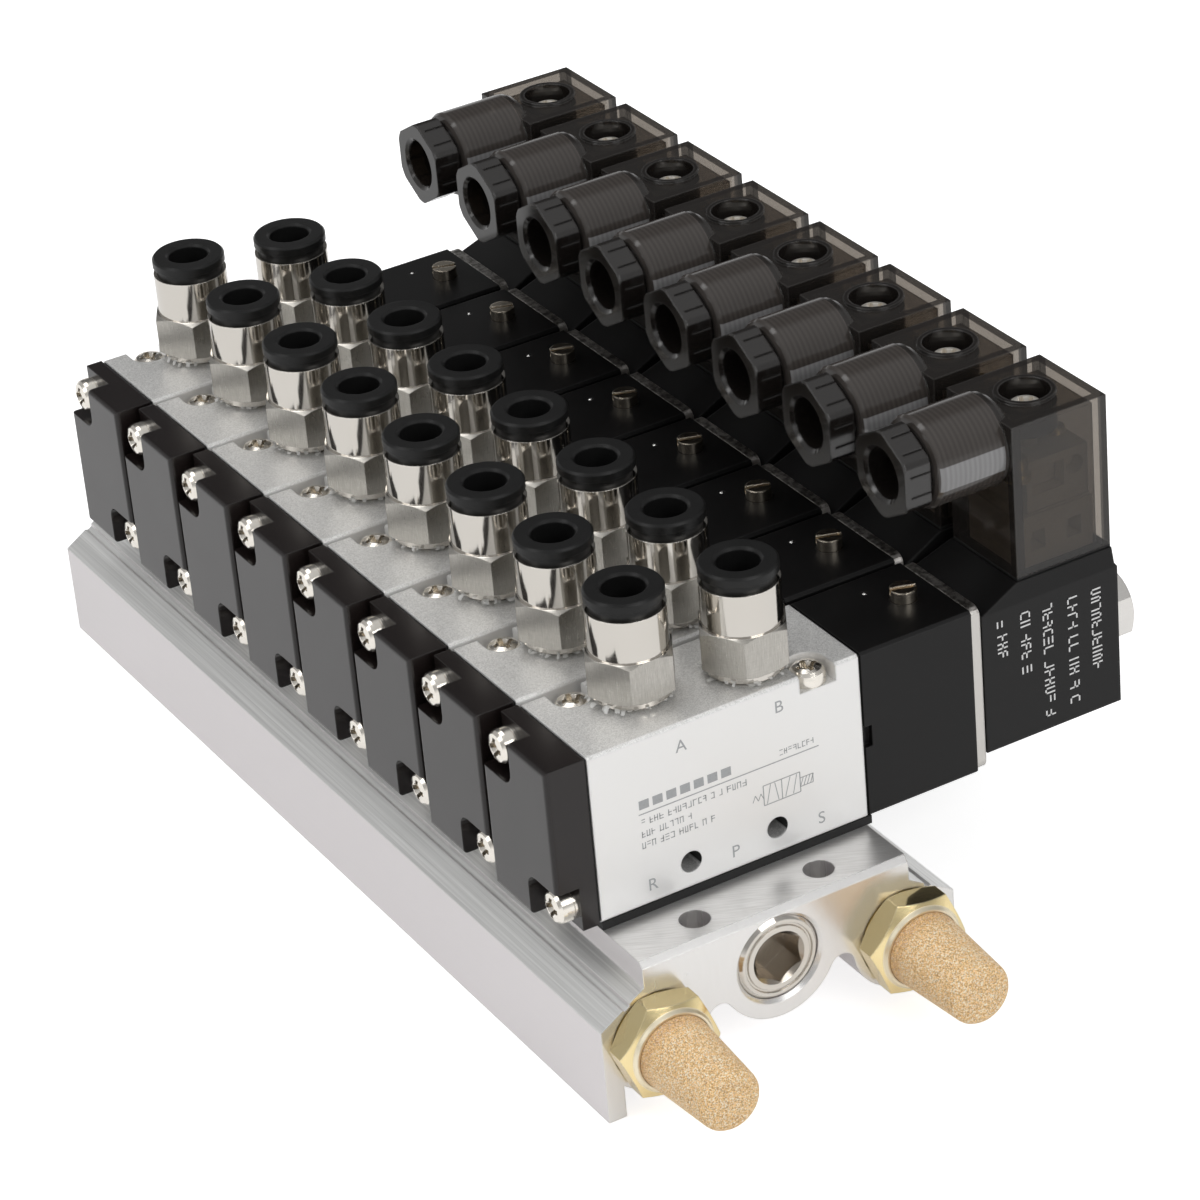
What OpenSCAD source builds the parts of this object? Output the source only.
// Bank of 5/2 solenoid valves bolted side by side on one extruded aluminium manifold.
// X runs along each valve from the end cover to the coil, Y runs along the stations, Z is up.
// The origin is under the middle of the whole bank, level with the feet of the manifold.
// Inside the modules X starts at the end cover face of the valve bodies, Y at the near side
// of the first valve, and the height of a valve part is counted from the valve's base.

/* [Stations] */
// Number of valves on the manifold
stations = 8; // [2:1:8]
// Distance from one valve to the next
pitch = 19; // [18.6:0.2:24]

/* [Manifold] */
// Height from the feet to the seats of the valves
man_h = 23.4; // [23:0.2:30]
// Width of the flat top
top_w = 43.4; // [42:0.2:46]
// Width over the two legs
base_w = 57.9; // [57.7:0.2:66]
// Height of the upright step beside the flat top
step_h = 3.9; // [2:0.1:6]
// Depth from the top to the outer edge of the shoulders
shoulder_drop = 8.4; // [7:0.2:10]
// Thickness of the legs
leg_t = 2.85; // [2:0.05:4]
// Length of manifold beyond the outer valves
overhang = 10.1; // [10:0.1:20]
// Bevel on the end edges of the flat top
end_bevel = 0.9; // [0.3:0.1:1.5]
// Depth of the shallow groove in each shoulder
groove_d = 0.35; // [0.1:0.05:0.6]
// Depth of the supply gallery's axis below the top
supply_drop = 8.1; // [7.8:0.1:9]
// Depth of the exhaust galleries' axes below the top
exhaust_drop = 12.2; // [11.8:0.1:13]
// Distance from the supply gallery to each exhaust gallery
exhaust_off = 20.35; // [20:0.05:21]
// Radius of the galleries
gallery_r = 5.8; // [5:0.1:6]
// Wall under the supply gallery
supply_wall = 3.6; // [3:0.1:4]
// Wall under the exhaust galleries
exhaust_wall = 2.6; // [2.2:0.1:2.7]
// Radius of the hollows between the galleries
hollow_r = 2; // [1.5:0.1:2.5]
// Radius of the threaded end ports
port_r = 6.58; // [6.3:0.02:6.8]
// Depth of the threads in the end ports
port_depth = 9; // [8:0.5:12]
// Radius of the four mounting holes
base_hole_r = 2.25; // [1.6:0.05:2.6]
// Distance between the mounting holes across the manifold
base_hole_gap = 20.3; // [20:0.1:21]
// Distance from the end faces to the mounting holes
base_hole_edge = 5; // [4:0.2:6]

/* [Valve body] */
// Length of the aluminium body
body_l = 43.6; // [43:0.2:48]
// Width of the body
body_w = 18; // [17.6:0.1:18.4]
// Height of the body
body_h = 26.6; // [26:0.2:32]
// Bevel along the edges of the body
body_bevel = 0.4; // [0.2:0.1:0.8]
// Radius of the spool bore
bore_r = 4.5; // [4.2:0.05:4.8]
// Height of the spool bore above the base
bore_up = 13.3; // [13:0.1:14]
// Distance between the two outlets
outlet_gap = 16; // [15.6:0.1:16.4]
// Offset of each outlet from the middle of the width
outlet_shift = 1.9; // [1:0.1:2.2]
// Radius of the outlet threads
outlet_r = 4.86; // [4.7:0.02:5]
// Depth of the outlet threads
outlet_depth = 6.6; // [6:0.1:7]
// Radius of the passages into the spool bore
passage_r = 1.5; // [1.2:0.1:1.6]
// Distance from the supply port to each exhaust port
base_port_gap = 14.2; // [14:0.1:14.4]
// Radius of the holes through the sides
side_hole_r = 1.65; // [1.5:0.05:1.9]
// Distance between the side holes
side_hole_gap = 14.1; // [13.5:0.1:15]
// Height of the side holes
side_hole_up = 4.2; // [3.6:0.1:4.6]
// Distance of the mounting screws from the ends of the body
seat_x = 6.7; // [6.4:0.1:7]
// Distance of the mounting screws from the middle, across the valve
seat_y = 6.3; // [6:0.1:6.5]
// Radius of the notches round the mounting screws
notch_r = 2.95; // [2.8:0.05:3.2]
// Depth of those notches
notch_d = 2.7; // [2.5:0.1:3.2]
// Thickness of the gasket under the valve
gasket_t = 1.3; // [0.8:0.1:2]
// Thickness of the gaskets at both ends of the body
end_gasket_t = 0.4; // [0.3:0.1:0.8]

/* [End cover] */
// Length of the cover
cover_l = 6.2; // [6:0.1:8]
// Thickness of the flange left under the screw heads
flange_t = 2.6; // [2.2:0.1:3]
// Width of the pockets round the screws
pocket_w = 8; // [7.6:0.1:8.6]
// Height of the pockets
pocket_h = 7; // [6.6:0.1:7.6]
// Rounding in the inner corner of the pockets
pocket_r = 2.2; // [1:0.1:3]
// Radius of the rounded outer edges
cover_round = 0.7; // [0.3:0.1:1]

/* [Screws] */
// Radius of the screw threads
thread_r = 1.5; // [1.2:0.05:1.6]
// Radius of the screw heads
head_r = 2.6; // [2.3:0.05:2.6]
// Height of the screw heads
head_h = 2.4; // [1.8:0.1:2.5]
// Thickness of the washers under the end cover's screws
washer_t = 0.7; // [0.4:0.1:0.8]
// Width of the arms of the cross recess
cross_w = 0.75; // [0.5:0.05:0.9]
// Depth of the cross recess
cross_d = 1.4; // [1:0.1:1.6]
// Distance of the end screws from the sides of the valve
end_screw_y = 3; // [2.8:0.1:3.3]
// Distance of the end screws from the top and base of the valve
end_screw_z = 3.4; // [3.2:0.1:3.8]
// Depth of the end screws in the valve body
end_screw_depth = 3.3; // [2.5:0.1:3.4]
// Depth of the mounting screws in the manifold
seat_screw_depth = 6; // [5:0.2:6.4]

/* [Spool] */
// Half the width of a spool seal
seal_half = 0.6; // [0.5:0.05:0.65]
// Radius of the spool between its lands
spool_r = 2.6; // [2.2:0.1:3]
// Radius of the piston
piston_r = 6; // [5.6:0.1:6.4]
// Thickness of the piston
piston_t = 3.2; // [2.8:0.1:3.6]

/* [Pilot] */
// Length of the pilot body
pilot_l = 18.5; // [18.3:0.1:20]
// Distance from the valve body to the manual override
button_x = 13.3; // [13:0.1:13.8]
// Radius of the manual override
button_r = 1.95; // [1.7:0.05:2.1]
// Height of the override above the pilot body
button_rise = 1.8; // [1.5:0.1:2.4]
// Travel of the override
button_travel = 1.2; // [0.8:0.1:1.4]
// Width of the screwdriver slot
slot_w = 0.7; // [0.5:0.05:0.9]
// Direction of that slot
slot_turn = -20; // [-90:5:90]
// Thickness of the steel plate between pilot and coil
plate_t = 1.6; // [1.2:0.1:2]
// Radius of the plate's corners
plate_round = 1.5; // [0.8:0.1:2]

/* [Coil] */
// Length of the coil
coil_l = 23.4; // [22:0.2:26]
// Width of the coil
coil_w = 17.8; // [17:0.1:18]
// Height of the coil block
coil_h = 22.3; // [21:0.1:23]
// Height of the coil's underside above the valve's base
coil_up = 2.6; // [2:0.1:3]
// Height of the sloped platform on the coil
platform_h = 2.9; // [2:0.1:4]
// Radius of the armature tube
tube_r = 4.6; // [4.4:0.05:4.8]
// Radius of the armature
armature_r = 3.9; // [3.5:0.05:4]
// Travel of the armature
armature_travel = 0.9; // [0.6:0.05:1]
// Width across the flats of the coil nut
coil_nut_af = 10; // [9.6:0.1:12]
// Length of the coil nut
coil_nut_l = 5.6; // [4:0.1:7]
// Radius of the thread under the coil nut
stud_r = 3.2; // [3:0.1:3.6]

/* [Connector] */
// Length of the housing
conn_l = 16; // [15.6:0.1:17]
// Width of the housing
conn_w = 15.8; // [15:0.1:16.5]
// Height of the housing
conn_h = 23.9; // [23:0.1:27]
// Wall of the housing
conn_wall = 1.4; // [1.2:0.05:1.8]
// Height of the carrier of the contacts
carrier_h = 16; // [14:0.2:17]
// Height of that carrier's foot
carrier_step = 8; // [7:0.2:9]
// Distance from the end of the coil to the housing
conn_inset = 0.4; // [0:0.1:1]
// Distance from the housing's top down to the cable entry's axis
entry_drop = 4.8; // [4.6:0.1:5]
// Outer radius of the cable entry
entry_r = 6.9; // [6.6:0.05:7.2]
// Length of the cable entry
entry_l = 11.6; // [10:0.2:14]
// Rounding of the entry where it meets the housing
neck_r = 2.2; // [1:0.1:2.4]
// Radius of the gland nut's bore
cable_r = 3.8; // [3.4:0.05:3.8]
// Radius of the gland nut's threaded shank
shank_r = 5.3; // [5:0.05:5.5]
// Length of that shank inside the entry
shank_l = 4.6; // [3:0.1:5]
// Radius of the bore in the rubber bush that grips the cable
bush_r = 3.1; // [2:0.05:3.3]
// Radius of the housing's passage behind the bush
throat_r = 4.15; // [3.6:0.05:4.2]
// Length of the bush
bush_l = 3.6; // [2:0.1:4]
// Depth of the bevel at the nut's mouth
mouth_bevel = 0.4; // [0.2:0.1:0.6]
// Length of the gland nut
gland_l = 4.2; // [3.6:0.1:6]
// Width across the flats of the gland nut
gland_af = 12.2; // [11.6:0.1:13]
// Space between gland nut and entry
gland_gap = 0.8; // [0.4:0.1:1.4]
// Outer radius of the collar round the screw
collar_r = 4.45; // [4.3:0.05:4.6]
// Radius of the recess over the screw
recess_r = 3.7; // [3.4:0.05:3.8]
// Depth of that recess
recess_d = 3.8; // [3.4:0.1:4.4]

/* [Fittings] */
// Width across the flats of the hexagon
hex_af = 12; // [11:0.1:12.2]
// Height of the hexagon above the valve body
collar_h = 1.6; // [1:0.1:2]
// Thickness of the round collar under the hexagon
collar_t = 1; // [0.6:0.1:1.2]
// Height of the hexagon
hex_h = 6.3; // [5:0.1:8]
// Radius of the round body
barrel_r = 5.75; // [5.6:0.05:6]
// Height of the round body
barrel_h = 6.4; // [6:0.1:9]
// Radius of the tube
tube_od_r = 3; // [2:0.1:3]
// Radius of the release ring
ring_r = 5.7; // [5.4:0.05:6]
// Thickness of the release ring's rim
ring_t = 1.5; // [1.2:0.1:2.2]
// Wall of the ring's sleeve round the tube
sleeve_t = 1.2; // [1:0.05:1.3]
// Length of the sleeve inside the body
sleeve_l = 6.4; // [5.6:0.1:7]
// Depth of the tube's stop in the body
tube_depth = 9.4; // [9:0.1:10]
// Overhang of the ring's rim
rim_out = 0.6; // [0.4:0.05:0.8]
// Travel of the release ring
ring_travel = 1.2; // [0.8:0.1:1.3]

/* [Silencers] */
// Width across the flats of the silencer's hexagon
silencer_af = 14; // [13.8:0.1:16]
// Turn of that hexagon
silencer_turn = -8; // [-30:1:30]
// Thickness of that hexagon
silencer_hex_t = 4.2; // [3:0.1:6]
// Radius of the sintered element at its root
element_r = 5.7; // [5.2:0.05:5.8]
// Radius of the element at its tip
element_tip_r = 4.75; // [4.2:0.05:5]
// Length of the element beyond the hexagon
element_l = 15.2; // [8:0.2:20]

/* [Hidden] */
$fn = 48;
// Radial clearance of threads and pressed pieces
fit_gap = 0.05;
// Radial clearance of the pieces that slide
slide_gap = 0.05;
// Overlap used where one cut runs into another
bite = 0.1;
numbers = [for (i = [1:stations]) i];

// Places along a valve
mid_x = body_l / 2;
mid_y = body_w / 2;
outlet_a = [mid_x - outlet_gap / 2, mid_y + outlet_shift];
outlet_b = [mid_x + outlet_gap / 2, mid_y - outlet_shift];
base_ports = [mid_x - base_port_gap, mid_x, mid_x + base_port_gap];
seat_screws = [[seat_x, mid_y + seat_y], [body_l - seat_x, mid_y - seat_y]];
end_screws = [[end_screw_y, end_screw_z], [body_w - end_screw_y, body_h - end_screw_z]];
pilot_x = body_l + end_gasket_t;
plate_x = pilot_x + pilot_l;
coil_x = plate_x + plate_t + 0.2;
coil_end = coil_x + coil_l;
conn_x = coil_end - conn_inset - conn_l;
conn_y = mid_y - conn_w / 2;
platform_z = coil_up + coil_h + platform_h;
conn_z = platform_z + 0.4;
conn_top = conn_z + conn_h;
conn_screw_x = conn_x + conn_l / 2 - 0.2;
entry_x = conn_x - entry_l;
entry_z = conn_top - entry_drop;
gland_x = entry_x - gland_gap - gland_l;
bush_x = entry_x + shank_l + 0.2;

// Heights of a tube fitting above the valve's base
hex_z = body_h + collar_h;
barrel_z = hex_z + hex_h;
mouth_z = barrel_z + barrel_h;
rim_z = mouth_z + ring_travel + 0.1;
ring_top = rim_z + ring_t;
skirt_r = ring_r - rim_out;
skirt_z = mouth_z - 0.7;
sleeve_r = tube_od_r + sleeve_t;
sleeve_z = mouth_z - sleeve_l;
mouth_d = mouth_z - skirt_z + ring_travel + 0.2;
tube_stop_z = mouth_z - tube_depth;
tube_r_clear = tube_od_r + 0.1;

// The manifold's length and galleries
man_l = (stations - 1) * pitch + body_w + 2 * overhang;
valve_z = man_h + gasket_t;
supply_z = man_h - supply_drop;
exhaust_z = man_h - exhaust_drop;
gallery_places = [[-exhaust_off, exhaust_z], [0, supply_z], [exhaust_off, exhaust_z]];

// The spool: each seal stands just clear of the passage beside it
seal_clear = seal_half + 0.05;
spool_travel = 2 * (passage_r + seal_clear) + 0.1;
seal_places = [base_ports[0] - passage_r - seal_half - 0.2,
               outlet_a[0] + passage_r + seal_clear,
               outlet_b[0] + passage_r + seal_clear,
               base_ports[2] + passage_r + seal_clear + spool_travel];
land_half = seal_half + 0.5;
spool_start = seal_places[0] - land_half - 0.9;
nose_r = 1.4;
piston_room = spool_travel + piston_t + 0.5;
piston_x = pilot_x + piston_room - piston_t - 0.2;
spring_pocket_r = 3.6;
spring_pocket_d = 4.2;

// The pilot valve: armature tip, its seat and the tube
seat_nozzle_x = pilot_x + button_x - 0.2;
chamber_r = tube_r;
tube_flange_t = 1.6;
chamber_x = seat_nozzle_x - 0.5;
tip_r = 2.2;
core_x = coil_x + coil_l * 0.68;
armature_end = core_x - armature_travel - 0.1;
shoulder_x = plate_x - 2.4;
armature_bore_r = 2;
armature_bore_d = 8;
tip_z = bore_up + armature_r + 0.1;
button_foot_z = bore_up + chamber_r + 2.1 + button_travel;

// The whole assembly, which sets the origin
low_x = min(mid_x - base_w / 2, -end_gasket_t - cover_l);
high_x = coil_end + coil_nut_l;
silencer_gap = 0.3;
low_y = -overhang - silencer_gap - silencer_hex_t - element_l;
high_y = man_l - overhang;
origin_x = (low_x + high_x) / 2;
origin_y = (low_y + high_y) / 2;

function arc(c, r, from, to, steps) =
    [for (k = [0:steps]) let(a = from + (to - from) * k / steps) c + r * [cos(a), sin(a)]];

function box_round(w, h, r, steps = 4) = concat(
    arc([w - r, h - r], r, 0, 90, steps), arc([r, h - r], r, 90, 180, steps),
    arc([r, r], r, 180, 270, steps), arc([w - r, r], r, 270, 360, steps));

function mirrored(points) = [for (k = [len(points) - 1:-1:0]) [-points[k][0], points[k][1]]];

function angle_to(a, b) = atan2(b[1] - a[1], b[0] - a[0]);

module place() {
    translate([-origin_x, -origin_y, 0]) children();
}

module station(i) {
    place() translate([0, i * pitch, valve_z]) children();
}

module each_station() {
    for (i = [0:stations - 1]) station(i) children();
}

// Lays a part that was made along Z down along X, at the height given
module along_x(x, y, z) {
    translate([x, y, z]) rotate([0, 90, 0]) children();
}

// A round bar along X from one place to another
module bar_x(x, to, y, z, r) {
    along_x(x, y, z) cylinder(r = r, h = to - x);
}

// A flat outline of the YZ plane, extruded along X
module slab_x(x, to) {
    translate([x, 0, 0]) rotate([90, 0, 90]) linear_extrude(to - x) children();
}

// A flat outline of the XZ plane, extruded along Y
module slab_y(y, to) {
    translate([0, to, 0]) rotate([90, 0, 0]) linear_extrude(to - y) children();
}

// A hexagon whose corners are turned off at the ends that have a chamfer
module hexagon(af, h, low, high) {
    corner = af / 2 / cos(30);
    intersection() {
        cylinder(r = corner, h = h, $fn = 6);
        rotate_extrude() polygon([
            [0, 0], [corner - low, 0], [corner + bite, low * 0.58 + bite * 0.58],
            [corner + bite, h - high * 0.58 - bite * 0.58], [corner - high, h], [0, h]]);
    }
}

// A pan head screw pointing down, its head or washer standing at zero
module screw(length, washer = 0) {
    rim = head_r - 0.1;
    top = washer + head_h;
    difference() {
        rotate_extrude() polygon(concat(
            [[0, -length], [thread_r - 0.4, -length], [thread_r, 0.4 - length], [thread_r, 0]],
            washer > 0 ? [[rim, 0], [rim, washer - 0.12], [rim - 0.3, washer - 0.12],
                          [rim - 0.3, washer]] : [],
            [for (q = [[1, 0], [1, 0.5], [0.95, 0.72], [0.8, 0.9], [0.5, 1], [0, 1]])
                [head_r * q[0], washer + head_h * q[1]]]));
        for (a = [0, 90]) rotate([0, 0, a])
            translate([-head_r * 0.6, -cross_w / 2, top - cross_d])
                cube([head_r * 1.2, cross_w, cross_d + 1]);
        translate([0, 0, top - cross_d]) cylinder(r1 = 0.5, r2 = 1.1, h = cross_d + bite);
    }
}

// A wire coil along X
module wire_spring(r, wire, length, turns, steps = 8, sides = 4) {
    last = turns * steps;
    rings = [for (k = [0:last]) let(a = 360 * k / steps, x = wire + (length - 2 * wire) * k / last)
        [for (s = [0:sides - 1]) let(b = 360 * s / sides, reach = r + wire * cos(b))
            [x + wire * sin(b), reach * cos(a), reach * sin(a)]]];
    polyhedron(
        points = [for (ring = rings) for (p = ring) p],
        faces = concat(
            [[for (s = [0:sides - 1]) s]],
            [for (k = [0:last - 1]) for (s = [0:sides - 1])
                let(t = (s + 1) % sides, here = k * sides, next = here + sides)
                each [[here + s, next + s, next + t], [here + s, next + t, here + t]]],
            [[for (s = [sides - 1:-1:0]) last * sides + s]]));
}

// Half of the manifold's section, from the top's edge round to the middle of the underside
function half_section() =
    let(top = top_w / 2, out = base_w / 2, leg = out - leg_t,
        outer_z = man_h - shoulder_drop, step_z = man_h - step_h,
        slope = [out - top, outer_z - step_z],
        down = [slope[1], -slope[0]] / norm(slope) * groove_d,
        supply = [0, supply_z], supply_out = gallery_r + supply_wall,
        exhaust = [exhaust_off, exhaust_z], exhaust_out = gallery_r + exhaust_wall,
        span = norm(exhaust - supply), to_hollow = supply_out + hollow_r,
        from_hollow = exhaust_out + hollow_r,
        part = (to_hollow * to_hollow - from_hollow * from_hollow + span * span) / (2 * span),
        drop = sqrt(to_hollow * to_hollow - part * part),
        dir = (exhaust - supply) / span,
        hollow = supply + part * dir + drop * [dir[1], -dir[0]],
        start = [top, step_z])
    concat(
        [[top, man_h], start,
         start + slope * 0.34, start + slope * 0.37 + down,
         start + slope * 0.47 + down, start + slope * 0.5,
         [out, outer_z], [out, 0], [leg, 0]],
        arc(exhaust, exhaust_out, -acos((leg - exhaust_off) / exhaust_out),
            angle_to(exhaust, hollow) > 0 ? angle_to(exhaust, hollow) - 360
                                          : angle_to(exhaust, hollow), 14),
        arc(hollow, hollow_r, angle_to(hollow, exhaust), angle_to(hollow, supply), 8),
        arc(supply, supply_out, angle_to(supply, hollow), -90, 8));

module manifold_block() {
    color("silver") place() difference() {
        translate([mid_x, 0, 0]) slab_y(-overhang, man_l - overhang)
            polygon(concat(half_section(), mirrored(half_section())));
        for (g = gallery_places) translate([mid_x + g[0], 0, g[1]]) gallery();
        for (i = [0:stations - 1]) translate([0, i * pitch, 0]) seat_holes();
        for (end = [-overhang, man_l - overhang]) translate([0, end, man_h]) rotate([45, 0, 0])
            translate([mid_x - top_w / 2 - 1, -end_bevel * 0.71, -end_bevel * 0.71])
                cube([top_w + 2, end_bevel * 1.42, end_bevel * 1.42]);
        for (y = [-overhang + base_hole_edge, man_l - overhang - base_hole_edge])
            for (side = [-1, 1]) translate([mid_x + side * base_hole_gap / 2, y, -1])
                cylinder(r = base_hole_r, h = man_h + 2);
    }
}

// A gallery through the manifold, with a threaded port and a countersink at both ends
module gallery() {
    translate([0, -overhang - 1, 0]) rotate([-90, 0, 0]) cylinder(r = gallery_r, h = man_l + 2);
    for (end = [0, 1]) translate([0, -overhang + end * man_l, 0]) rotate([end * 180 - 90, 0, 0]) {
        translate([0, 0, -1]) cylinder(r = port_r, h = port_depth + 1);
        translate([0, 0, -1]) cylinder(r1 = port_r + 1.5, r2 = port_r, h = 1.5);
    }
}

// The air passages and screw holes under one valve
module seat_holes() {
    for (k = [0, 2]) translate([base_ports[k], mid_y, exhaust_z + 1.2])
        cylinder(r = 2.2, h = exhaust_drop);
    translate([base_ports[1], mid_y, supply_z]) cylinder(r = 2.2, h = supply_drop + 1);
    for (s = seat_screws) translate([s[0], s[1], man_h - seat_screw_depth - 0.5])
        cylinder(r = thread_r + fit_gap, h = seat_screw_depth + 1);
}

module valve_bodies() {
    color("gainsboro") each_station() difference() {
        slab_x(0, body_l) polygon(body_outline());
        bar_x(-1, body_l + 1, mid_y, bore_up, bore_r);
        for (p = [outlet_a, outlet_b]) translate([p[0], p[1], 0]) {
            translate([0, 0, body_h - outlet_depth]) cylinder(r = outlet_r, h = outlet_depth + 1);
            translate([0, mid_y - p[1], bore_up]) cylinder(r = passage_r, h = body_h - bore_up);
        }
        for (x = base_ports) translate([x, mid_y, -1]) {
            cylinder(r = passage_r, h = bore_up);
            cylinder(r = 2.6, h = 2.2);
        }
        for (k = [0, 1]) translate([seat_screws[k][0], seat_screws[k][1], 0]) {
            translate([0, 0, -1]) cylinder(r = thread_r + 0.15, h = body_h);
            translate([0, 0, body_h - notch_d]) cylinder(r = notch_r, h = notch_d + 1);
            translate([-notch_r, k == 0 ? 0 : -notch_r - 1, body_h - notch_d])
                cube([2 * notch_r, notch_r + 1, notch_d + 1]);
        }
        for (side = [-1, 1])
            translate([mid_x + side * side_hole_gap / 2, body_w + 1, side_hole_up])
                rotate([90, 0, 0]) cylinder(r = side_hole_r, h = body_w + 2);
        for (s = end_screws) {
            bar_x(-1, end_screw_depth + 0.3, s[0], s[1], thread_r + fit_gap);
            bar_x(body_l - end_screw_depth - 0.3, body_l + 1, s[0], s[1], thread_r + fit_gap);
        }
    }
}

function body_outline() = [
    [body_bevel, 0], [body_w - body_bevel, 0], [body_w, body_bevel],
    [body_w, body_h - body_bevel], [body_w - body_bevel, body_h],
    [body_bevel, body_h], [0, body_h - body_bevel], [0, body_bevel]];

module end_covers() {
    face = -end_gasket_t;
    color("dimgray") each_station() difference() {
        intersection() {
            translate([face - cover_l, 0, 0]) linear_extrude(body_h)
                polygon(concat(arc([cover_round, cover_round], cover_round, 270, 180, 4),
                    arc([cover_round, body_w - cover_round], cover_round, 180, 90, 4),
                    [[cover_l, body_w], [cover_l, 0]]));
            slab_y(-1, body_w + 1)
                polygon(concat(
                    arc([face - cover_l + cover_round, body_h - cover_round], cover_round, 90, 180, 4),
                    arc([face - cover_l + cover_round, cover_round], cover_round, 180, 270, 4),
                    [[face, 0], [face, body_h]]));
        }
        slab_x(face - cover_l - 1, face - flange_t) {
            polygon(concat([[-1, -1], [pocket_w, -1]],
                arc([pocket_w - pocket_r, pocket_h - pocket_r], pocket_r, 0, 90, 5),
                [[-1, pocket_h]]));
            polygon(concat([[body_w + 1, body_h + 1], [body_w - pocket_w, body_h + 1]],
                arc([body_w - pocket_w + pocket_r, body_h - pocket_h + pocket_r],
                    pocket_r, 180, 270, 5),
                [[body_w + 1, body_h - pocket_h]]));
        }
        for (s = end_screws) bar_x(face - cover_l, 0, s[0], s[1], thread_r + 0.1);
        bar_x(-spring_pocket_d - end_gasket_t, 0, mid_y, bore_up, spring_pocket_r);
    }
}

// The pilot body holds the piston at one end and the armature's seat at the other
module pilot_bodies() {
    color("dimgray") each_station() difference() {
        slab_x(pilot_x, plate_x) polygon(body_outline());
        bar_x(pilot_x - 1, pilot_x + piston_room, mid_y, bore_up, piston_r + slide_gap);
        bar_x(pilot_x + 1, chamber_x + 1, mid_y, bore_up, 0.6);
        difference() {
            bar_x(chamber_x, plate_x + 1, mid_y, bore_up, chamber_r);
            along_x(chamber_x - 1, mid_y, bore_up) cylinder(r1 = 2, r2 = 1, h = 1.5);
        }
        bar_x(plate_x - tube_flange_t - 0.05, plate_x + 1, mid_y, bore_up, chamber_r + 2.1);
        translate([pilot_x + button_x, mid_y, 0]) {
            translate([0, 0, button_foot_z - button_travel - 0.2])
                cylinder(r = button_r + slide_gap, h = body_h);
            translate([0, 0, bore_up]) cylinder(r = 1.1, h = body_h - bore_up);
        }
        translate([pilot_x + button_x - 3.6, mid_y + 4.6, body_h - 1]) cylinder(r = 0.45, h = 2);
        translate([pilot_x - 1, -1, bore_up - 2]) cube([2.2, 2, 3.4]);
        for (s = end_screws) {
            bar_x(pilot_x - 1, plate_x, s[0], s[1], thread_r + 0.1);
            bar_x(plate_x - head_h - 0.1, plate_x + 1, s[0], s[1], head_r + 0.2);
        }
    }
}

module coil_plates() {
    color("lightgray") each_station() difference() {
        translate([plate_x, 0.2, 0]) slab_x(0, plate_t)
            polygon(box_round(body_w - 0.4, body_h, plate_round));
        bar_x(plate_x - 1, plate_x + plate_t + 1, mid_y, bore_up, tube_r + fit_gap);
    }
}

// The moulded coil, with a sloped platform under the connector
module coils() {
    top = coil_up + coil_h;
    side = mid_y - coil_w / 2;
    color("dimgray") each_station() difference() {
        intersection() {
            slab_y(side, side + coil_w) polygon([
                [coil_x, coil_up], [coil_end, coil_up], [coil_end, top],
                [coil_end - conn_inset, top + 0.6], [coil_end - conn_inset, platform_z],
                [conn_x - 0.4, platform_z], [coil_x, top]]);
            slab_x(coil_x - 1, coil_end + 1) polygon([
                [side, coil_up], [side + coil_w, coil_up], [side + coil_w, top],
                [conn_y + conn_w + 0.3, platform_z], [conn_y - 0.3, platform_z], [side, top]]);
        }
        bar_x(coil_x - 1, coil_end + 1, mid_y, bore_up, tube_r + fit_gap);
        translate([conn_screw_x, mid_y, platform_z - 5.3])
            cylinder(r = thread_r + fit_gap, h = 6);
    }
}

// The flanged tube of the armature, closed by the fixed core and threaded for the coil nut
module armature_tubes() {
    color("silver") each_station() difference() {
        union() {
            bar_x(plate_x - tube_flange_t, plate_x, mid_y, bore_up, chamber_r + 2);
            bar_x(plate_x - bite, coil_end, mid_y, bore_up, tube_r);
            bar_x(coil_end - bite, coil_end + coil_nut_l - 1.2, mid_y, bore_up, stud_r);
        }
        bar_x(plate_x - tube_flange_t - 1, core_x, mid_y, bore_up, armature_r + slide_gap);
    }
}

module coil_nuts() {
    color("silver") each_station() difference() {
        along_x(coil_end, mid_y, bore_up) hexagon(coil_nut_af, coil_nut_l, 0.2, 0.9);
        bar_x(coil_end - 1, coil_end + coil_nut_l - 1.1, mid_y, bore_up, stud_r + fit_gap);
    }
}

// A moulded housing with a cable entry on one side and a recess for its screw on top
module connector_housings() {
    inner = [conn_l - 2 * conn_wall, conn_w - 2 * conn_wall, conn_h - conn_wall];
    color([0.22, 0.2, 0.18]) each_station() difference() {
        union() {
            difference() {
                translate([conn_x, conn_y, conn_z]) cube([conn_l, conn_w, conn_h]);
                translate([conn_x + conn_wall, conn_y + conn_wall, conn_z - 1])
                    cube([inner[0], inner[1], inner[2] + 1]);
            }
            translate([conn_screw_x, mid_y, conn_top - recess_d - 1.4])
                cylinder(r = collar_r, h = recess_d + 1.8);
            along_x(entry_x, mid_y, entry_z) rotate_extrude() polygon(concat(
                [[0, 0], [entry_r - 1, 0], [entry_r - 0.35, 0.3], [entry_r, 0.9]],
                arc([entry_r - neck_r, entry_l], neck_r, 0, 90, 5), [[0, entry_l + neck_r]]));
        }
        bar_x(entry_x - 1, bush_x + bush_l, mid_y, entry_z, shank_r + fit_gap);
        bar_x(entry_x, conn_x + neck_r + 1, mid_y, entry_z, throat_r);
        translate([conn_screw_x, mid_y, conn_top - recess_d]) cylinder(r = recess_r, h = 9);
        translate([conn_screw_x, mid_y, conn_z]) cylinder(r = thread_r + 0.2, h = conn_h);
    }
}

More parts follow.
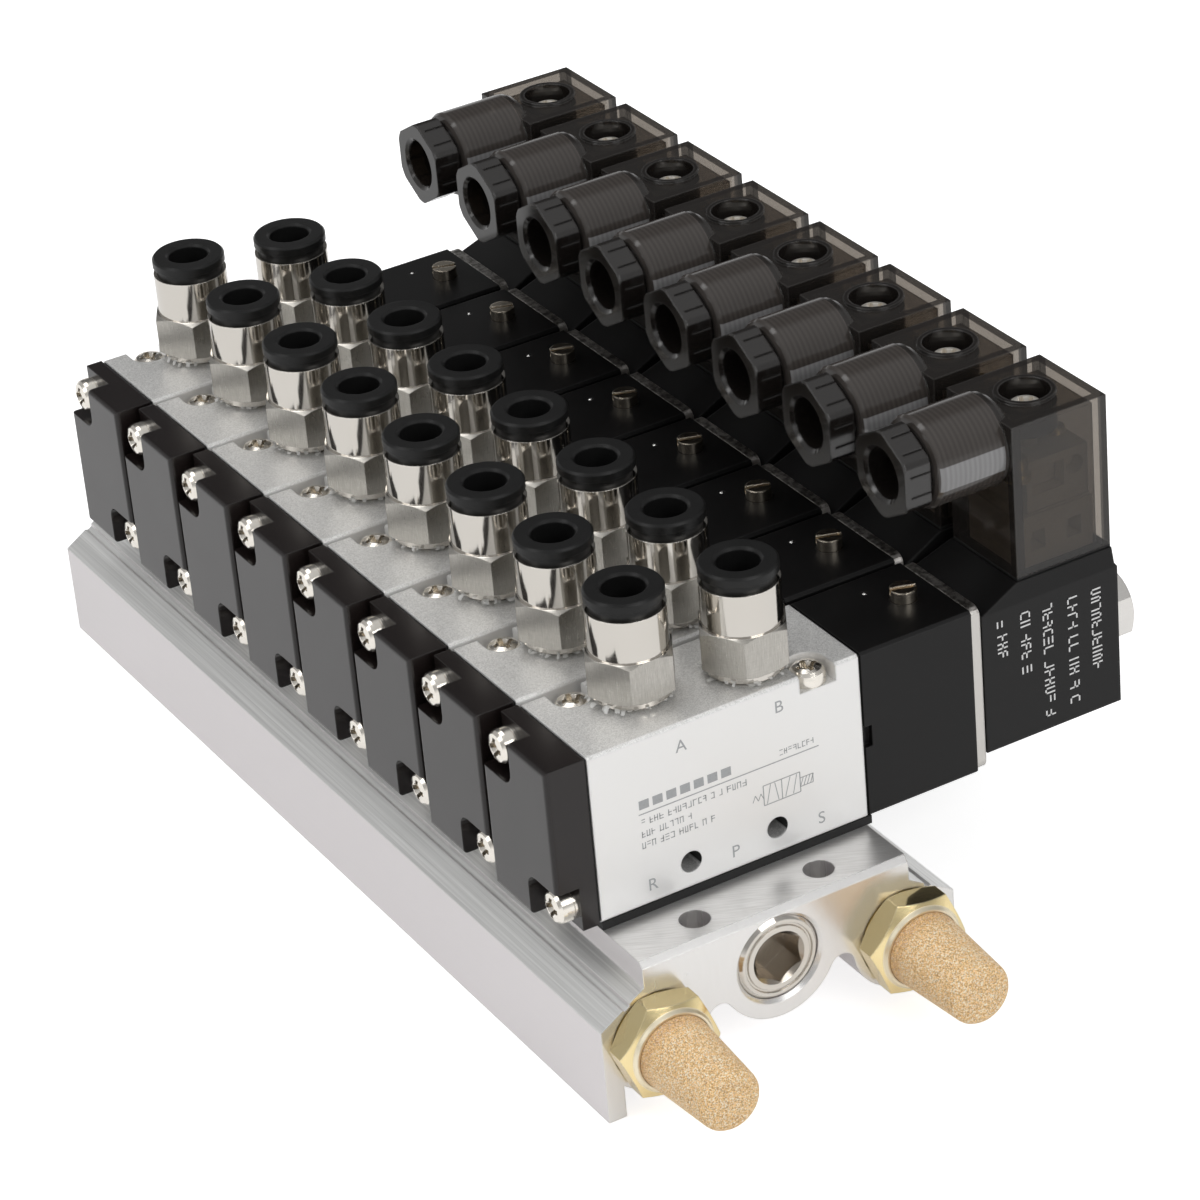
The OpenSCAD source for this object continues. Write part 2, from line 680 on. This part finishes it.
// The black carrier of the contacts: a foot that fills the housing, and a windowed block on it
module terminal_inserts() {
    play = 0.3;
    low = [conn_x + conn_wall + play, conn_y + conn_wall + play, conn_z];
    size = [conn_l - 2 * (conn_wall + play), conn_w - 2 * (conn_wall + play), carrier_step];
    block_x = conn_x + neck_r + 1.6;
    block = [low[0] + size[0] - block_x, size[1] - 1.6, carrier_h - carrier_step];
    color("black") each_station() difference() {
        union() {
            translate(low) cube(size);
            translate([block_x, low[1] + 0.8, conn_z + carrier_step - bite]) cube(block + [0, 0, bite]);
        }
        translate([conn_screw_x, mid_y, conn_z - 1]) cylinder(r = thread_r + 0.2, h = carrier_h + 2);
        for (y = [low[1] - 1, low[1] + size[1] - 3]) {
            translate([block_x + 1, y, conn_z + carrier_step + 2.6]) cube([5.4, 4, 4]);
            translate([block_x + 8.3, y + 4, conn_z + carrier_step + 5.2]) rotate([90, 0, 0])
                cylinder(r = 1.4, h = 4);
            for (x = [2, size[0] - 4.4]) translate([low[0] + x, y, conn_z + 2.4]) cube([2.4, 4, 3]);
        }
    }
}

module connector_screws() {
    color("silver") each_station()
        translate([conn_screw_x, mid_y, conn_top - recess_d])
            screw(conn_top - recess_d - platform_z + 5);
}

// A gland nut with turned corners, two grooves in each flat and an open bore
module gland_nuts() {
    color([0.2, 0.19, 0.18]) each_station() difference() {
        union() {
            along_x(gland_x, mid_y, entry_z) difference() {
                intersection() {
                    hexagon(gland_af, gland_l, 0.5, 0.3);
                    cylinder(r = entry_r - 0.1, h = gland_l);
                }
                for (a = [30:60:330], side = [-1, 1]) rotate([0, 0, a])
                    translate([gland_af / 2 - 0.3, side * gland_af * 0.13 - 0.15, 0.9])
                        cube([1, 0.3, gland_l]);
            }
            bar_x(gland_x + gland_l - bite, entry_x + shank_l, mid_y, entry_z, shank_r);
        }
        bar_x(gland_x - 1, entry_x + shank_l + 1, mid_y, entry_z, cable_r);
        along_x(gland_x - bite, mid_y, entry_z)
            cylinder(r1 = cable_r + 0.7, r2 = cable_r, h = mouth_bevel + bite);
    }
}

// The nickel plated body of a push-in tube fitting
module fitting_bodies() {
    color("silver") each_station() for (p = [outlet_a, outlet_b]) translate([p[0], p[1], 0])
        difference() {
            union() {
                translate([0, 0, body_h - outlet_depth + 0.2])
                    cylinder(r = outlet_r - fit_gap, h = outlet_depth + collar_h);
                translate([0, 0, hex_z - collar_t])
                    cylinder(r = hex_af / 2 - 0.3, h = collar_t + bite);
                translate([0, 0, hex_z]) hexagon(hex_af, hex_h, 0.8, 0.9);
                translate([0, 0, barrel_z - bite]) cylinder(r = barrel_r, h = barrel_h + bite);
            }
            translate([0, 0, body_h - outlet_depth - 1]) cylinder(r = 2.2, h = 30);
            translate([0, 0, tube_stop_z]) cylinder(r = sleeve_r + slide_gap, h = 20);
            translate([0, 0, mouth_z - mouth_d]) cylinder(r = skirt_r + slide_gap, h = 20);
        }
}

// The black release ring, which slides down to free the tube
module release_ring(i, p) {
    color([0.12, 0.12, 0.12]) station(i) translate([p[0], p[1], 0]) rotate_extrude() polygon([
        [tube_r_clear, sleeve_z], [sleeve_r, sleeve_z], [sleeve_r, skirt_z], [skirt_r, skirt_z],
        [skirt_r, rim_z], [ring_r, rim_z], [ring_r, ring_top - 0.35], [ring_r - 0.3, ring_top],
        [tube_r_clear + 0.4, ring_top], [tube_r_clear, ring_top - 0.4]]);
}

module cover_screws() {
    color("silver") each_station() for (s = end_screws) {
        translate([-end_gasket_t - flange_t, s[0], s[1]]) rotate([0, -90, 0])
            screw(flange_t + end_gasket_t + end_screw_depth, washer_t);
        translate([plate_x - head_h - 0.05, s[0], s[1]]) rotate([0, 90, 0])
            screw(pilot_l - head_h + end_gasket_t + end_screw_depth);
    }
}

module mounting_screws() {
    color("silver") each_station() for (s = seat_screws) translate([s[0], s[1], body_h - notch_d])
        screw(body_h - notch_d + gasket_t + seat_screw_depth);
}

module gaskets() {
    color("black") each_station() {
        translate([0, 0, -gasket_t]) linear_extrude(gasket_t) difference() {
            translate([0.15, 0.15]) square([body_l + 0.65, body_w - 0.3]);
            for (x = base_ports) translate([x, mid_y]) circle(r = 2.6);
            for (s = seat_screws) translate([s[0], s[1]]) circle(r = thread_r + 0.15);
        }
        for (x = [-end_gasket_t, body_l]) slab_x(x, x + end_gasket_t) difference() {
            translate([0.3, 0.3]) square([body_w - 0.6, body_h - 0.6]);
            translate([mid_y, bore_up]) circle(r = bore_r);
            for (s = end_screws) translate([s[0], s[1]]) circle(r = thread_r + 0.15);
        }
        translate([conn_x, conn_y, platform_z]) linear_extrude(conn_z - platform_z) difference() {
            square([conn_l, conn_w]);
            translate([conn_screw_x - conn_x, conn_w / 2]) circle(r = thread_r + 0.2);
        }
        for (p = [outlet_a, outlet_b]) translate([p[0], p[1], tube_stop_z]) rotate_extrude()
            polygon([[tube_r_clear, 0], [sleeve_r, 0], [sleeve_r, 1.3], [tube_r_clear, 1.3]]);
        along_x(bush_x, mid_y, entry_z) rotate_extrude() polygon([
            [bush_r, 0], [shank_r, 0], [shank_r, bush_l], [bush_r, bush_l]]);
    }
}

module return_springs() {
    spool_end = -end_gasket_t - spring_pocket_d + 0.05;
    core_spring_x = armature_end - armature_bore_d + 0.05;
    color("darkgray") each_station() translate([0, mid_y, bore_up]) {
        translate([spool_end, 0, 0]) wire_spring(2.1, 0.3, spool_start - spool_end, 4);
        translate([core_spring_x, 0, 0])
            wire_spring(armature_bore_r - 0.5, 0.25, core_x - core_spring_x - 0.05, 5);
    }
}

// The spool with its seals and the piston that pushes it
module spool(i) {
    seal_root = bore_r - 1.3;
    color("gold") station(i) along_x(0, mid_y, bore_up) {
        rotate_extrude() polygon(concat(
            [[0, spool_start - 1.6], [nose_r, spool_start - 1.6], [nose_r, spool_start],
             [spool_r, spool_start]],
            [for (s = seal_places) each [
                [spool_r, s - land_half], [bore_r - 0.2, s - land_half],
                [bore_r - 0.2, s - seal_half], [seal_root, s - seal_half],
                [seal_root, s + seal_half], [bore_r - 0.2, s + seal_half],
                [bore_r - 0.2, s + min(land_half, body_l - s - 0.05)],
                [spool_r, s + min(land_half, body_l - s - 0.05)]]],
            [[spool_r, piston_x], [0, piston_x]]));
        for (s = seal_places) rotate_extrude() polygon([
            [seal_root + 0.02, s - seal_half + 0.02], [bore_r - slide_gap, s - seal_half + 0.02],
            [bore_r - slide_gap, s + seal_half - 0.02], [seal_root + 0.02, s + seal_half - 0.02]]);
        rotate_extrude() polygon([
            [0, piston_x], [piston_r - 0.15, piston_x], [piston_r - 0.15, piston_x + 0.9],
            [piston_r - 1, piston_x + 0.9], [piston_r - 1, piston_x + 2.3],
            [piston_r - 0.15, piston_x + 2.3], [piston_r - 0.15, piston_x + piston_t],
            [0, piston_x + piston_t]]);
        rotate_extrude() polygon([
            [piston_r - 0.98, piston_x + 0.92], [piston_r, piston_x + 0.92],
            [piston_r, piston_x + 2.28], [piston_r - 0.98, piston_x + 2.28]]);
    }
}

// The armature, with the valve disc on its tip and a bore for its spring
module armature(i) {
    start = seat_nozzle_x + 0.05;
    color("slategray") station(i) along_x(0, mid_y, bore_up) {
        rotate_extrude() polygon([
            [0, start + 0.8], [tip_r, start + 0.8], [tip_r, shoulder_x], [armature_r, shoulder_x + 0.6],
            [armature_r, armature_end], [armature_bore_r, armature_end],
            [armature_bore_r, armature_end - armature_bore_d],
            [0, armature_end - armature_bore_d]]);
        rotate_extrude() polygon([
            [0, start], [tip_r - 0.3, start], [tip_r - 0.3, start + 0.8], [0, start + 0.8]]);
    }
}

// The slotted pin of the manual override
module override_button(i) {
    color("silver") station(i) translate([pilot_x + button_x, mid_y, 0]) difference() {
        union() {
            translate([0, 0, button_foot_z])
                cylinder(r = button_r, h = body_h + button_rise - button_foot_z);
            translate([0, 0, tip_z]) cylinder(r = 1, h = button_foot_z - tip_z + bite);
        }
        rotate([0, 0, slot_turn]) translate([-5, -slot_w / 2, body_h + button_rise - 0.9])
            cube([10, slot_w, 2]);
    }
}

// Lays a part that was made along Z down into the near or the far end of a gallery
module in_port(g, end) {
    place() translate([mid_x + g[0], -overhang + end * man_l, g[1]])
        rotate([end * 180 + 90, 0, 0]) children();
}

module silencer_bodies() {
    lip = silencer_gap + silencer_hex_t;
    color("goldenrod") for (g = [gallery_places[0], gallery_places[2]]) in_port(g, 0) difference() {
        union() {
            translate([0, 0, -7]) cylinder(r = port_r - fit_gap, h = 7 + silencer_gap + bite);
            translate([0, 0, silencer_gap])
                rotate([0, 0, silencer_turn]) hexagon(silencer_af, silencer_hex_t, 1.1, 1.6);
            translate([0, 0, lip - bite]) cylinder(r1 = element_r + 0.75, r2 = element_r + 0.4, h = 0.7);
        }
        translate([0, 0, -8]) cylinder(r = 4, h = 20);
        translate([0, 0, lip - 3]) cylinder(r = element_r + fit_gap, h = 10);
    }
}

module sintered_elements() {
    root = silencer_gap + silencer_hex_t - 2.95;
    tip = silencer_gap + silencer_hex_t + element_l;
    round_r = 1.4;
    color("sandybrown") for (g = [gallery_places[0], gallery_places[2]]) in_port(g, 0)
        rotate_extrude() polygon(concat(
            [[element_r - 2, root], [element_r, root], [element_r, root + 3]],
            arc([element_tip_r - round_r, tip - round_r], round_r, 0, 90, 4),
            [[0, tip], [0, tip - 2.4], [element_r - 2, tip - 2.4]]));
}

// Plugs with a hexagon socket: the near supply port and both far exhaust ports
module port_plugs() {
    color("silver") for (q = [[1, 0], [0, 1], [2, 1]]) in_port(gallery_places[q[0]], q[1])
        translate([0, 0, -8.2]) difference() {
            rotate_extrude() polygon([
                [0, 0], [port_r - 1, 0], [port_r - fit_gap, 0.9],
                [port_r - fit_gap, 7.5], [port_r - 0.6, 8], [5.5, 8], [5.4, 7.7],
                [5.1, 7.7], [5, 8], [0, 8]]);
            translate([0, 0, 3.6]) rotate([0, 0, 30]) cylinder(r = 4.05, h = 6, $fn = 6);
            translate([0, 0, 7.2]) cylinder(r1 = 3.3, r2 = 4.4, h = 1);
        }
}

manifold_block();
valve_bodies();
end_covers();
pilot_bodies();
coil_plates();
coils();
armature_tubes();
coil_nuts();
connector_housings();
terminal_inserts();
connector_screws();
gland_nuts();
fitting_bodies();
cover_screws();
mounting_screws();
gaskets();
return_springs();
silencer_bodies();
sintered_elements();
port_plugs();
for (i = [0:stations - 1]) {
    spool(i);
    armature(i);
    override_button(i);
    release_ring(i, outlet_a);
    release_ring(i, outlet_b);
}
